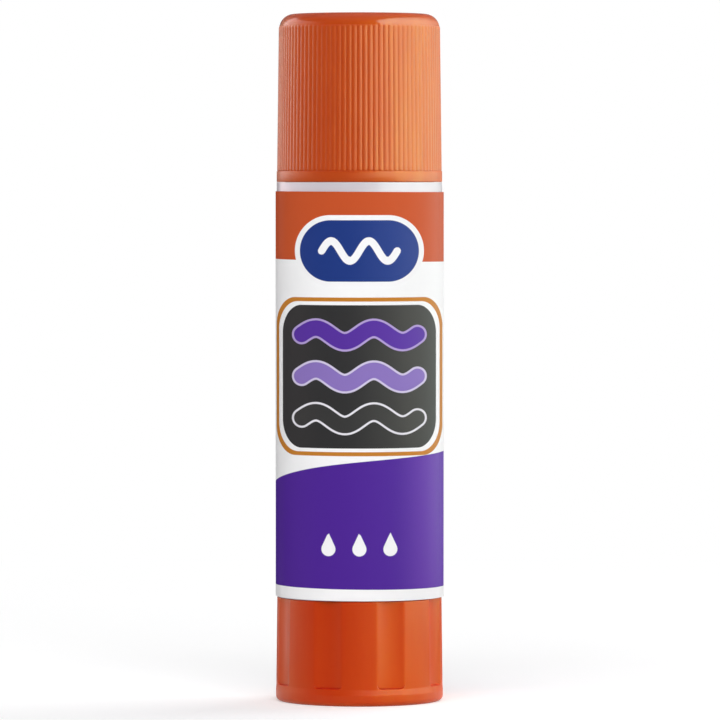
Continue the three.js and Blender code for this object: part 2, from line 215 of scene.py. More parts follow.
# %% Cap
cap_rim, cap_top, band_radius = extent("cap")
BAND_HEIGHT = 1.6
BAND_PROUD = 0.07
RIM_ROUND = 0.09
WALL_LEAN = 0.25
CAP_WALL = 0.85
CAP_ROUND = 2.2
CAP_ROUND_STEP = 4
CAP_ROOF = 1.3
CAP_CROWN = 0.06
RIB_COUNT = 96
RIB_HEIGHT = 0.085
RIB_POINTS = 8
RIB_TIP = 0.3
SEAL_RADIUS = 10.15
SEAL_WALL = 0.7
SEAL_LENGTH = 6.6
SEAL_LEAD_IN = 0.5
MOUTH_LEAD_IN = (0.25, 0.4)
GATE_RADIUS = 1.3
GATE_DEPTH = 0.12

band_top = cap_rim + BAND_HEIGHT
wall_foot = band_radius - BAND_PROUD
wall_top = wall_foot - WALL_LEAN
ground_foot, ground_top = wall_foot - RIB_HEIGHT, wall_top - RIB_HEIGHT
bore = wall_top - CAP_WALL
round_bottom = cap_top - CAP_ROUND
roof = cap_top - CAP_ROOF
rib_top = round_bottom + RIB_TIP

over_the_round = [
    (ground_top - CAP_ROUND * (1 - math.cos(a)), round_bottom + (CAP_ROUND - CAP_CROWN) * math.sin(a))
    for a in np.radians(np.arange(CAP_ROUND_STEP, 91, CAP_ROUND_STEP))
]
cap_line = line(
    (band_radius, cap_rim, RIM_ROUND),
    (band_radius, band_top, 0.04),
    (ground_foot, band_top + 0.05, 0.02, 0.05),
    (ground_foot, band_top + 0.6, 0, 0.8),
    (ground_top, round_bottom - 0.35, 0, 0.06),
    (ground_top, round_bottom),
    *over_the_round,
    (GATE_RADIUS, cap_top, 0.1),
    (GATE_RADIUS - 0.2, cap_top - GATE_DEPTH, 0.1),
    (GATE_RADIUS - 0.8, cap_top - GATE_DEPTH, 0.05),
    (GATE_RADIUS - 0.85, cap_top - GATE_DEPTH / 2, 0.03),
    (0, cap_top - GATE_DEPTH / 2),
    (0, roof),
    (SEAL_RADIUS - SEAL_WALL, roof, 0.25),
    (SEAL_RADIUS - SEAL_WALL, roof - SEAL_LENGTH, 0.1),
    (SEAL_RADIUS - 0.2, roof - SEAL_LENGTH, 0.1),
    (SEAL_RADIUS, roof - SEAL_LENGTH + SEAL_LEAD_IN, 0.1),
    (SEAL_RADIUS, roof, 0.25),
    (bore, roof, 0.9),
    (bore, cap_rim + MOUTH_LEAD_IN[1], 0.1),
    (bore + MOUTH_LEAD_IN[0], cap_rim, 0.05),
)


def ribbed(radius, height, angle):
    """Round beads on the wall, whose tips shrink to nothing at the band and at the top."""
    across = repeat(angle, RIB_COUNT) * RIB_COUNT / np.pi
    above_band = np.clip((height - band_top) / RIB_TIP, 0, 1)
    below_top = np.clip((rib_top - height) / RIB_TIP, 0, 1)
    tip = np.sqrt(1 - (1 - above_band) ** 2) * np.sqrt(1 - (1 - below_top) ** 2)
    bead = np.clip(tip - across**2, 0, None)
    outside = (radius > ground_top - CAP_WALL / 2) & (radius < band_radius - BAND_PROUD / 2)
    return radius + RIB_HEIGHT * bead * outside


cap = turned("cap_moulding", cap_line, RIB_COUNT * RIB_POINTS, ribbed)

# %% [markdown]
# ## The turning base
#
# The knob under the barrel is moulded in the same orange polypropylene. Eight shallow
# scoops give the fingers a hold. Each is a hollow whose two edges lie on the round side,
# so it is deepest along its middle, and it stops at a sill above the foot. The inserts
# that shaped the scoops left a fine line along each sill.
#
# The scoop is a parabola across the knob. For a ray from the axis it is a quadratic in
# the radius, which is solved below, so the hollow is exact at any angle. Where it meets
# the round side the smaller radius wins, blended over a sixth of a millimetre to either
# side, because the mould's edge is a little worn there too.
#
# Inside, the hub's socket grips the screw with six splines. The screw keeps its solid, so
# the socket's splines stand where that has its grooves, with a little room between.

# %% Turning base
_, hub_top, base_edge = extent("turning_base")
BASE_HEIGHT = 15.6
BASE_TOP_RADIUS = 12.34
BASE_FOOT_RADIUS = 12.48
BASE_TOP_ROUND = 0.22
SCOOP_COUNT = 8
SCOOP_WIDTH = 4.3
SCOOP_DEPTH = 0.55
SCOOP_CORNER = 0.5
SILL = 2.6
# A hollow opens between these two heights, taken from its sill
SILL_STEP = (-0.06, 0.1)
SILL_LINE_DEPTH = 0.12
SILL_LINE_MIDDLE = 0.02
SILL_LINE_HALF = 0.1
EDGE_BLEND = 0.16
LIP_RADIUS = 10.88
LIP_WALL = 1.0
INNER_RADIUS = 10.52
HUB_RADIUS = 4.95
SOCKET_RADIUS = 3.45
SOCKET_BOTTOM = 4.95
SPLINE_COUNT = 6
SPLINE_ANGLE = math.radians(7.5)
# A spline slopes away between these two angles from its middle
SPLINE_FLANK = np.radians([9, 21])
SPLINE_DEPTH = 0.5
FOOT_RING = 11.45
FOOT_RING_WIDTH = 1.0
FOOT_RECESS = 0.8
FOOT_ROUND = 1.6
PLATE_TOP = 2.2

base_line = line(
    (0, FOOT_RECESS - 0.15),
    (1.1, FOOT_RECESS - 0.15, 0.1),
    (1.4, FOOT_RECESS, 0.1),
    (FOOT_RING - FOOT_RING_WIDTH, FOOT_RECESS, 0.2),
    (FOOT_RING - FOOT_RING_WIDTH, 0, 0.2),
    (base_edge, 0, FOOT_ROUND),
    (base_edge, FOOT_ROUND + 0.05, 1.0),
    (BASE_FOOT_RADIUS, SILL - 0.1, 0.6, 0.05),
    (BASE_FOOT_RADIUS, SILL + 0.9, 0, 0.5),
    (BASE_TOP_RADIUS, BASE_HEIGHT - 0.4, 0, 0.1),
    (BASE_TOP_RADIUS, BASE_HEIGHT, BASE_TOP_ROUND),
    (LIP_RADIUS, BASE_HEIGHT, 0.1),
    (LIP_RADIUS, hub_top, 0.2),
    (LIP_RADIUS - LIP_WALL, hub_top, 0.2),
    (LIP_RADIUS - LIP_WALL, BASE_HEIGHT),
    (INNER_RADIUS, BASE_HEIGHT - INNER_RADIUS + LIP_RADIUS - LIP_WALL),
    (INNER_RADIUS, PLATE_TOP, 0.4),
    (HUB_RADIUS, PLATE_TOP, 0.4),
    (HUB_RADIUS, hub_top, 0.15),
    (SOCKET_RADIUS, hub_top, 0.1),
    (SOCKET_RADIUS, SOCKET_BOTTOM, 0.1),
    (0, SOCKET_BOTTOM),
    closed=False,
)


def scooped(radius, height, angle):
    """Eight hollows in the side, and six splines in the socket."""
    off = repeat(angle + np.pi / SCOOP_COUNT, SCOOP_COUNT)
    half = SCOOP_WIDTH / 2
    floor = radius - SCOOP_DEPTH
    rise = np.sqrt(radius**2 - half**2) - floor
    bend = rise * (np.sin(off) / half) ** 2
    hollow = 2 * floor / (np.cos(off) + np.sqrt(np.clip(np.cos(off) ** 2 - 4 * bend * floor, 0, None)))
    gap = np.clip(0.5 + (radius - hollow) / (2 * EDGE_BLEND), 0, 1)
    worn = radius + (hollow - radius) * gap - EDGE_BLEND * gap * (1 - gap)
    past_corner = np.clip(np.abs(radius * np.sin(off)) - half + SCOOP_CORNER, 0, SCOOP_CORNER)
    sill = SILL + SCOOP_CORNER - np.sqrt(SCOOP_CORNER**2 - past_corner**2)
    open_here = ramp(height - sill, *SILL_STEP)
    side = (radius > BASE_TOP_RADIUS - BASE_TOP_ROUND - HAIR) & (height < BASE_HEIGHT + HAIR)
    line_bend = 1 - ((height - sill - SILL_LINE_MIDDLE) / SILL_LINE_HALF) ** 2
    sill_line = SILL_LINE_DEPTH * np.clip(line_bend, 0, None) * (hollow < radius)
    scoop = np.where(side, (worn - radius) * open_here - sill_line, 0)
    lobe = 1 - ramp(np.abs(repeat(angle - SPLINE_ANGLE, SPLINE_COUNT)), *SPLINE_FLANK)
    socket = (np.abs(radius - SOCKET_RADIUS) < HAIR) & (height > SOCKET_BOTTOM - HAIR)
    return radius + scoop - np.where(socket, SPLINE_DEPTH * lobe, 0)


turning_base = turned("base_moulding", base_line, 96 * SCOOP_COUNT, scooped, closed=False)

# %% [markdown]
# ## The barrel
#
# The barrel is a white moulded tube. Only its collar shows while the stick is closed.
# Lift the cap, and there is the thinner neck with the bead that the cap clicks over, the
# rounded mouth, and inside it the four ribs that guide the carrier. Its foot stands close
# over the turning base, so no more than a fine dark line parts the two.

# %% Barrel
_, mouth_top, barrel_radius = extent("barrel")
_, label_top, label_radius = extent("label")
FOOT_GAP = 0.04
FILM_SET_BACK = 0.08
CAP_GAP = 0.03
NECK_RADIUS = 11.05
BEAD_PROUD = 0.08
BEAD_HALF_WIDTH = 0.6
BEAD_HEIGHT = 3.2
BORE_RADIUS = 10.4
FLOOR_TOP = 20.5
FLOOR_BOTTOM = 19.0
FLOOR_HOLE = 4.15
SKIRT_RADIUS = 11.13
GUIDE_COUNT = 4
GUIDE_HALF_WIDTH = 0.6
GUIDE_EDGE = 0.1
GUIDE_END = 0.6
GUIDE_HEIGHT = 0.45
GUIDE_TOP = mouth_top - 9.0

barrel_foot = BASE_HEIGHT + FOOT_GAP
label_bottom = barrel_foot + FILM_SET_BACK
collar_radius = band_radius
shoulder = cap_rim - CAP_GAP
bead = shoulder + BEAD_HEIGHT
barrel_line = line(
    (barrel_radius, barrel_foot, 0.12),
    (barrel_radius, label_top, 0.02),
    (collar_radius, label_top + 0.02, 0.02),
    (collar_radius, shoulder, 0.04),
    (NECK_RADIUS, shoulder, 0.15),
    (NECK_RADIUS, bead - BEAD_HALF_WIDTH, 0.6),
    (NECK_RADIUS + BEAD_PROUD, bead, 0.6),
    (NECK_RADIUS, bead + BEAD_HALF_WIDTH, 0.6, 2.0),
    (NECK_RADIUS, mouth_top, 0.28),
    (BORE_RADIUS, mouth_top, 0.22),
    (BORE_RADIUS, GUIDE_TOP + 1.0, 0, 0.12),
    (BORE_RADIUS, GUIDE_TOP - 1.0, 0, 8.0),
    (BORE_RADIUS, FLOOR_TOP, 0.2),
    (FLOOR_HOLE, FLOOR_TOP, 0.1),
    (FLOOR_HOLE, FLOOR_BOTTOM, 0.1),
    (SKIRT_RADIUS, FLOOR_BOTTOM, 0.3),
    (SKIRT_RADIUS, barrel_foot, 0.15),
)


def guided(radius, height, angle):
    """Four upright ribs on the wall of the bore, whose upper ends lean back into it."""
    across = np.abs(radius * np.sin(repeat(angle, GUIDE_COUNT)))
    proud = 1 - ramp(across, GUIDE_HALF_WIDTH - GUIDE_EDGE, GUIDE_HALF_WIDTH + GUIDE_EDGE)
    below_end = 1 - ramp(height, GUIDE_TOP - GUIDE_END, GUIDE_TOP)
    in_bore = (np.abs(radius - BORE_RADIUS) < HAIR) & (height > FLOOR_TOP + HAIR)
    return radius - np.where(in_bore, GUIDE_HEIGHT * proud * below_end, 0)


barrel = turned("barrel_moulding", barrel_line, 384, guided)

# %% [markdown]
# ## The label
#
# The label is one sheet of printed plastic film, wound once round the barrel. Its end
# lies over its beginning in a narrow overlap, hidden between the two printed faces. The
# sheet is a thin closed loop of points, drawn along the winding angle from one end to
# the other, and the last stretch climbs over the first by the film's thickness.

# %% Label sheet
FILM = 0.08
FILM_SEAT = 0.01
SEAM_ANGLE = math.radians(97)
OVERLAP = 3.2
CLIMB = 1.2
SHEET_STEP = 0.3
WINDING_SLIP = 0.06

overlap_angle = OVERLAP / label_radius
climb_angle = CLIMB / label_radius
sheet_angle = np.linspace(
    SEAM_ANGLE - 2 * np.pi - overlap_angle,
    SEAM_ANGLE,
    int((2 * np.pi * label_radius + OVERLAP) / SHEET_STEP),
)
lift_start = SEAM_ANGLE - overlap_angle - climb_angle
lift = FILM * ramp(sheet_angle, lift_start, lift_start + climb_angle) - FILM_SEAT
sheet_line = line(
    (0, label_bottom, 0, SHEET_STEP),
    (0, label_top),
    (-FILM, label_top),
    (-FILM, label_bottom),
)
sheet_radius = label_radius + lift[None, :] + sheet_line[:, :1]
sheet_height = sheet_line[:, 1:] - WINDING_SLIP * np.sin(sheet_angle)[None, :]
label = skin(
    "label_film",
    np.stack(
        [sheet_radius * np.sin(sheet_angle), -sheet_radius * np.cos(sheet_angle), sheet_height],
        -1,
    ),
    closed_columns=False,
)

# %% [markdown]
# ## The print
#
# The inks are flat areas with crisp edges: an orange field at the top, a plain roundel,
# a dark panel in an orange frame, and a violet field whose upper edge sweeps round the
# stick. An image could hold them, but it would blur close up. Here each point of the
# film stores how far it is from the edge of each ink, in millimetres, below zero inside.
# The material turns that distance into a crisp line between the points, at any zoom.
#
# The design has two faces, front and back. It was drawn to be seen from straight ahead,
# so its sideways measure is the one that the eye sees, and the roundings of the frame
# are half as wide again as they are high. A lighter violet is laid over the violet field
# towards the right side as a painted highlight, where the light falls. Where it is to
# blend in, its stored distance stays within the softness of an edge, so the same step that
# draws a crisp line draws a slow one. The clear varnish over it all is stored too. It
# covers one side thinly, as the roller lifts off there.

# %% Distances to the edges of the inks
WAVE_POINTS = 24


def distance_to_rounded_box(x, z, half_width, half_height, rounding):
    """Signed distance to a rectangle with rounded corners about the origin."""
    dx, dz = np.abs(x) - half_width + rounding, np.abs(z) - half_height + rounding
    outside = np.hypot(np.clip(dx, 0, None), np.clip(dz, 0, None))
    return outside + np.minimum(np.maximum(dx, dz), 0) - rounding


def distance_to_path(x, z, path):
    """Distance to a line through points, which gives a stroke when a half width is taken off."""
    nearest = np.full(x.shape, np.inf)
    for (ax, az), (bx, bz) in zip(path[:-1], path[1:]):
        length = (bx - ax) ** 2 + (bz - az) ** 2
        along = np.clip(((x - ax) * (bx - ax) + (z - az) * (bz - az)) / length, 0, 1)
        nearest = np.minimum(nearest, np.hypot(x - ax - along * (bx - ax), z - az - along * (bz - az)))
    return nearest


def wave(half_width, height, turns=2):
    """A wavy line about the origin, as a nozzle or a finger would draw it."""
    t = np.linspace(-1, 1, WAVE_POINTS * turns)
    return np.column_stack([half_width * t, height * np.sin(np.pi * turns * t)])


def distance_to_drop(x, z, radius, height):
    """Signed distance to a drop: a disc that tapers to a point above it."""
    lean = radius / height
    upright = np.sqrt(1 - lean**2)
    along = z * upright + np.abs(x) * -lean
    on_disc = np.hypot(x, z) - radius
    on_side = np.abs(x) * upright + z * lean - radius
    over_tip = np.hypot(x, z - height)
    return np.where(along < 0, on_disc, np.where(along > height * upright, over_tip, on_side))


# %% Sizes of the print
SIDE_STRETCH = 1.5
ORANGE_FIELD_BOTTOM = 66.1
ORANGE_FIELD_SLIP = 0.2
VIOLET_FIELD_BOTTOM = 17.42
VIOLET_FIELD_SLIP = 0.13
VIOLET_FIELD_TOP = 35.19
VIOLET_SWEEP = (2.31, 1.14, -0.54)
FRAME_MIDDLE = 48.96
FRAME_HALF_WIDTH = 12.39
FRAME_HALF_HEIGHT = 11.75
FRAME_LINE = 0.6
FRAME_TO_PANEL = 0.53
PANEL_SIDE_INSET = 0.3
FRAME_ROUNDING = 4.2
ROUNDEL_MIDDLE = 67.6
ROUNDEL_HALF_WIDTH = 9.6
ROUNDEL_HALF_HEIGHT = 5.3
ROUNDEL_RIM = 0.75
ROUNDEL_WAVE = (5.6, 1.5)
ROUNDEL_PEN = 0.55
STROKE_SPACING = 6.2
STROKE_WAVE = (8.6, 1.0)
STROKE_PEN = 1.15
STROKE_OUTLINE_PEN = 1.45
DROP_MIDDLE = 23.4
DROP_SPACING = 4.6
DROP_SIZE = (1.05, 2.5)
VARNISH_COVER = 0.8
VARNISH_LOSS = 0.65
VARNISH_FADE = np.radians([30, 62])
# Turns, in radians, where the painted highlight on the violet field rises and where it falls away
VIOLET_HIGHLIGHT_TURNS = np.radians([22, 62, 105, 150])
INK_EDGE = 0.035

# %% The printed areas
points = np.empty(len(label.data.vertices) * 3)
label.data.vertices.foreach_get("co", points)
points = points.reshape(-1, 3) / MM
turn = np.arctan2(points[:, 0], -points[:, 1])
height = points[:, 2]
face_turn = (turn + np.pi / 2) % np.pi - np.pi / 2
sideways = label_radius * np.sin(face_turn)

sweep = [np.sin(turn), np.cos(turn), np.sin(2 * turn)]
violet_field_top = VIOLET_FIELD_TOP + sum(k * bend for k, bend in zip(VIOLET_SWEEP, sweep))
violet_field_bottom = VIOLET_FIELD_BOTTOM - VIOLET_FIELD_SLIP * np.sin(turn)
orange_field_bottom = ORANGE_FIELD_BOTTOM - ORANGE_FIELD_SLIP * np.sin(turn)
x, z = sideways * SIDE_STRETCH, height - FRAME_MIDDLE
frame_half = FRAME_HALF_WIDTH * SIDE_STRETCH
panel_half = frame_half - FRAME_LINE - FRAME_TO_PANEL - PANEL_SIDE_INSET
panel_half_height = FRAME_HALF_HEIGHT - FRAME_LINE - FRAME_TO_PANEL
frame_outside = distance_to_rounded_box(x, z, frame_half, FRAME_HALF_HEIGHT, FRAME_ROUNDING)
frame_inside = distance_to_rounded_box(
    x, z, frame_half - FRAME_LINE, FRAME_HALF_HEIGHT - FRAME_LINE, FRAME_ROUNDING
)
roundel_z = height - ROUNDEL_MIDDLE
roundel = distance_to_rounded_box(
    sideways, roundel_z, ROUNDEL_HALF_WIDTH, ROUNDEL_HALF_HEIGHT, ROUNDEL_HALF_HEIGHT
)

areas = {
    "orange_field": orange_field_bottom - height,
    "roundel_rim": roundel,
    "roundel_field": roundel + ROUNDEL_RIM,
    "roundel_stroke": distance_to_path(sideways, roundel_z, wave(*ROUNDEL_WAVE)) - ROUNDEL_PEN,
    "frame_line": np.maximum(frame_outside, -frame_inside),
    "panel": distance_to_rounded_box(x, z, panel_half, panel_half_height, FRAME_ROUNDING),
    "violet_field": np.maximum(height - violet_field_top, violet_field_bottom - height),
}
for place in (1, 0, -1):
    stroke = distance_to_path(sideways, z - place * STROKE_SPACING, wave(*STROKE_WAVE))
    areas[f"stroke_{place}_outline"] = stroke - STROKE_OUTLINE_PEN
    areas[f"stroke_{place}_fill"] = stroke - STROKE_PEN
areas["drops"] = np.min(
    [
        distance_to_drop(sideways - place * DROP_SPACING, height - DROP_MIDDLE, *DROP_SIZE)
        for place in (-1, 0, 1)
    ],
    axis=0,
)
# Painted highlight: a lighter violet over the right side of the violet field, where the light falls
painted_highlight = ramp(turn, *VIOLET_HIGHLIGHT_TURNS[:2]) * (1 - ramp(turn, *VIOLET_HIGHLIGHT_TURNS[2:]))
areas["violet_painted_highlight"] = np.maximum(areas["violet_field"], INK_EDGE * (1 - 2 * painted_highlight))
areas["varnish"] = VARNISH_COVER - VARNISH_LOSS * ramp(-turn, *VARNISH_FADE)
for name, amount in areas.items():
    stored = label.data.attributes.new(name, "FLOAT", "POINT")
    stored.data.foreach_set("value", amount.astype(np.float32))
print("the film stores", len(areas) - 1, "printed areas and its varnish")

# %% [markdown]
# ## The glue
#
# The glue was cast warm into the barrel, so its side is smooth and carries four grooves
# from the guide ribs, and its face sank a little in the middle as it cooled. It shows
# once the cap is off and the base is turned.

# %% Glue
glue_bottom, glue_top, glue_radius = extent("glue")
GLUE_BORE = 3.2
GLUE_BORE_TOP = glue_top - 7.7
GLUE_FOOT_RADIUS = 9.2
GLUE_STEP = 34.2
GLUE_ROUND = 0.2
GROOVE_DEPTH = 0.6
GROOVE_HALF_WIDTH = 0.85
GROOVE_TOP = GUIDE_TOP + 0.25
# A groove runs out between these distances from its half width, and from its top
GROOVE_EDGE = (-0.2, 0.15)
GROOVE_END = (-0.5, 0.2)
FACE_DISH = 0.35

glue_line = line(
    (0, GLUE_BORE_TOP),
    (GLUE_BORE, GLUE_BORE_TOP, 0.3),
    (GLUE_BORE, glue_bottom, GLUE_ROUND),
    (GLUE_FOOT_RADIUS, glue_bottom, GLUE_ROUND),
    (GLUE_FOOT_RADIUS, GLUE_STEP, GLUE_ROUND),
    (glue_radius, GLUE_STEP, GLUE_ROUND, 1.5),
    (glue_radius, GROOVE_TOP - 1.0, 0, 0.15),
    (glue_radius, glue_top - 1.2, 0, 0.3),
    (glue_radius, glue_top, 0.45),
    (8.6, glue_top - 0.06, 1.0),
    (4.5, glue_top - FACE_DISH * 0.8, 3.0, 0.6),
    (0, glue_top - FACE_DISH),
    closed=False,
)


def cast(radius, height, angle):
    """Grooves in the side where the guide ribs stood, with soft edges."""
    across = np.abs(radius * np.sin(repeat(angle, GUIDE_COUNT)))
    groove = 1 - ramp(across - GROOVE_HALF_WIDTH, *GROOVE_EDGE)
    below_end = 1 - ramp(height - GROOVE_TOP, *GROOVE_END)
    side = (radius > glue_radius - GLUE_ROUND - HAIR) & (height > GLUE_STEP - HAIR)
    return radius - np.where(side, GROOVE_DEPTH * groove * below_end, 0)


glue = turned("glue_casting", glue_line, 288, cast, closed=False)

# %% [markdown]
# ## Nodes for the finishes
#
# Colours are written as the hex values that a painter would pick on a screen, and one
# function turns them into the linear light that the shaders work in. One more function
# adds any node with its settings and inputs, so that each finish reads as a list.

# %% Colours and nodes
def linear(hex_colour):
    """A hex colour as linear red, green, blue and 1."""
    channels = [int(hex_colour[i : i + 2], 16) / 255 for i in (1, 3, 5)]
    return [c / 12.92 if c <= 0.04045 else ((c + 0.055) / 1.055) ** 2.4 for c in channels] + [1]


def add(tree, kind, inputs=None, **settings):
    """A node of that kind, whose inputs are set to values or linked to other nodes' outputs."""
    made = tree.nodes.new(kind)
    for key, value in settings.items():
        setattr(made, key, value)
    for key, value in (inputs or {}).items():
        if isinstance(value, bpy.types.NodeSocket):
            tree.links.new(value, made.inputs[key])
        else:
            made.inputs[key].default_value = value
    return made


def new_finish(name):
    """An empty material, its node tree, its output and the object's own coordinates."""
    material = bpy.data.materials.new(name)
    material.use_nodes = True
    tree = material.node_tree
    tree.nodes.clear()
    output = add(tree, "ShaderNodeOutputMaterial")
    place = add(tree, "ShaderNodeTexCoord").outputs["Object"]
    return material, tree, output, place


def per_metre(size_mm):
    """The scale of a pattern whose features are that many millimetres apart."""
    return 1 / (size_mm * MM)


# Socket numbers of the colour Mix node, whose names repeat
FACTOR, COLOUR_A, COLOUR_B, MIXED = 0, 6, 7, 2
# Noise is named from 0 to 1, but nearly all of it lies between these
NOISE_REACH = {"From Min": 0.3, "From Max": 0.7}
POLYPROPYLENE_IOR = 1.49
print("a pattern with features 1 mm apart has the scale", per_metre(1))

# %% [markdown]
# ## Moulded polypropylene
#
# The cap, the base and the barrel are polypropylene, coloured in the melt. A polished
# mould gives it a clear gloss, but light also turns round inside its skin and comes back
# blurred. So it has two glosses here: a clear coat with a sharp one, and under it a broad
# one. The pigment drinks blue light first, and the broad gloss of the orange parts leans
# to yellow for that reason. Plastic shrinks as it cools, so the gloss is broken by a soft
# ripple about as wide as the wall is thick, and by a fine grain. The colour clouds a
# little where the melt flowed. The index of refraction is about 1.49.

# %% Polypropylene
def moulded_polypropylene(name, colour, cloud, depth, tint, haze, gloss, blur):
    """Plastic coloured in the melt: cloud is its second colour, depth how far light goes
    in millimetres of red, green and blue. Tint and haze are the colour and strength of the
    broad gloss, gloss and blur the strength and roughness of the sharp one."""
    material, tree, output, place = new_finish(name)
    flow = add(
        tree,
        "ShaderNodeTexNoise",
        {"Vector": place, "Scale": per_metre(7.0), "Detail": 3.0, "Roughness": 0.55},
    )
    clouded = add(
        tree,
        "ShaderNodeMix",
        {FACTOR: flow.outputs["Fac"], COLOUR_A: linear(colour), COLOUR_B: linear(cloud)},
        data_type="RGBA",
    )
    streak_place = add(
        tree, "ShaderNodeMapping", {"Vector": place, "Scale": (1.0, 1.0, 0.12)}
    )
    streaks = add(
        tree,
        "ShaderNodeTexNoise",
        {"Vector": streak_place.outputs["Vector"], "Scale": per_metre(1.6), "Detail": 4.0},
    )
    dullness = add(
        tree,
        "ShaderNodeMapRange",
        {"Value": streaks.outputs["Fac"], **NOISE_REACH, "To Min": 0.56, "To Max": 0.66},
    )
    ripple = add(
        tree,
        "ShaderNodeTexNoise",
        {"Vector": place, "Scale": per_metre(1.3), "Detail": 1.0},
    )
    soft = add(
        tree,
        "ShaderNodeBump",
        {"Height": ripple.outputs["Fac"], "Strength": 0.5, "Distance": 0.006 * MM},
    )
    grain = add(
        tree,
        "ShaderNodeTexNoise",
        {"Vector": place, "Scale": per_metre(0.16), "Detail": 2.0},
    )
    fine = add(
        tree,
        "ShaderNodeBump",
        {
            "Height": grain.outputs["Fac"],
            "Normal": soft.outputs["Normal"],
            "Strength": 0.4,
            "Distance": 0.0015 * MM,
        },
    )
    shader = add(
        tree,
        "ShaderNodeBsdfPrincipled",
        {
            "Base Color": clouded.outputs[MIXED],
            "Roughness": dullness.outputs["Result"],
            "IOR": POLYPROPYLENE_IOR,
            "Normal": fine.outputs["Normal"],
            "Subsurface Weight": 0.1,
            "Subsurface Radius": depth,
            "Subsurface Scale": MM,
            "Specular IOR Level": haze,
            "Specular Tint": linear(tint),
            "Coat Weight": gloss,
            "Coat Roughness": blur,
            "Coat IOR": POLYPROPYLENE_IOR,
            "Coat Normal": fine.outputs["Normal"],
        },
    )
    tree.links.new(shader.outputs["BSDF"], output.inputs["Surface"])
    return material


# %% The moulded finishes
ORANGE_DEPTH = (1.0, 0.3, 0.12)
WHITE_DEPTH = (1.2, 1.1, 1.0)
cap_orange = ("#B72D11", "#BD3314", ORANGE_DEPTH, "#A8FF20")
base_orange = ("#BC170D", "#C11D0F", ORANGE_DEPTH, "#D8FF30")
white = ("#CBC4CB", "#D0CAD0", WHITE_DEPTH, "#FFF2FF")

polished_cap = moulded_polypropylene("polished_orange_polypropylene", *cap_orange, 1.0, 0.6, 0.1)
stoned_cap = moulded_polypropylene("stoned_orange_polypropylene", *cap_orange, 1.0, 0.5, 0.28)
dull_cap = moulded_polypropylene("spark_eroded_orange_polypropylene", *cap_orange, 0.4, 0.1, 0.5)
base_polypropylene = moulded_polypropylene(
    "moulded_orange_polypropylene", *base_orange, 1.0, 0.26, 0.2
)
white_polypropylene = moulded_polypropylene(
    "moulded_white_polypropylene", *white, 0.7, 0.7, 0.2
)
print("finishes so far:", [material.name for material in bpy.data.materials])

# %% [markdown]
# The cap's mould has three surfaces. Its round top edge was polished. The ribs and the
# band were finished with a fine stone, which leaves them a little softer, and the flat of
# the top was left as a spark had cut it, so that scratches don't show. Each face takes
# the finish of its own place.

# %% Surfaces of the cap
GROUND_MARGIN = 0.05
FLAT_DEPTH = 0.2
centres = np.array([face.center[:] for face in cap.data.polygons]) / MM
from_axis = np.hypot(centres[:, 0], centres[:, 1])
on_side = (from_axis > ground_top - GROUND_MARGIN) & (centres[:, 2] < rib_top)
on_flat = (from_axis < ground_top - CAP_ROUND) & (centres[:, 2] > cap_top - FLAT_DEPTH)
cap.data.polygons.foreach_set("material_index", (on_side + 2 * on_flat).astype(np.int32))
print(on_side.sum(), "faces on the side and", on_flat.sum(), "on the flat of the top")

# %% [markdown]
# ## Printed film
#
# The label is white polypropylene film, printed in flat inks and varnished to a satin
# gloss. The inks are laid one over another in the order below, and each edge is as soft
# as a printing plate leaves it, a few hundredths of a millimetre. The film is not quite
# taut, so a slow ripple, a few millimetres wide, runs through its gloss. Where the
# varnish is thin the inks lie almost bare, so a plain diffuse surface is mixed in there.

# %% Inks
FILM_COLOURS = ("#FBFBFC", "#FEFEFE")
BARE_FILM = FILM_COLOURS[0]
INKS = [
    ("orange_field", "#C7542B"),
    ("violet_field", "#4F2896"),
    # A painted highlight, a lighter violet over the right side of the violet field
    ("violet_painted_highlight", "#6436A8"),
    ("frame_line", "#C57F2F"),
    ("panel", "#343435"),
    ("stroke_1_outline", "#B5A0D7"),
    ("stroke_1_fill", "#58349E"),
    ("stroke_0_outline", "#D4CBE7"),
    ("stroke_0_fill", "#8C75BE"),
    ("stroke_-1_outline", "#E8E6ED"),
    ("stroke_-1_fill", "#3B3B3B"),
    ("roundel_rim", BARE_FILM),
    ("roundel_field", "#223B82"),
    ("roundel_stroke", BARE_FILM),
    ("drops", BARE_FILM),
]

printed_film, tree, output, place = new_finish("printed_polypropylene_film")
fibre = add(
    tree, "ShaderNodeTexNoise", {"Vector": place, "Scale": per_metre(0.9), "Detail": 3.0}
)
printed = add(
    tree,
    "ShaderNodeMix",
    {
        FACTOR: fibre.outputs["Fac"],
        COLOUR_A: linear(FILM_COLOURS[0]),
        COLOUR_B: linear(FILM_COLOURS[1]),
    },
    data_type="RGBA",
).outputs[MIXED]
for area, ink in INKS:
    edge = add(tree, "ShaderNodeAttribute", attribute_name=area)
    covered = add(
        tree,
        "ShaderNodeMapRange",
        {"Value": edge.outputs["Fac"], "From Min": INK_EDGE, "From Max": -INK_EDGE},
    )
    printed = add(
        tree,
        "ShaderNodeMix",
        {FACTOR: covered.outputs["Result"], COLOUR_A: printed, COLOUR_B: linear(ink)},
        data_type="RGBA",
    ).outputs[MIXED]
print(len(INKS), "inks laid over the film")

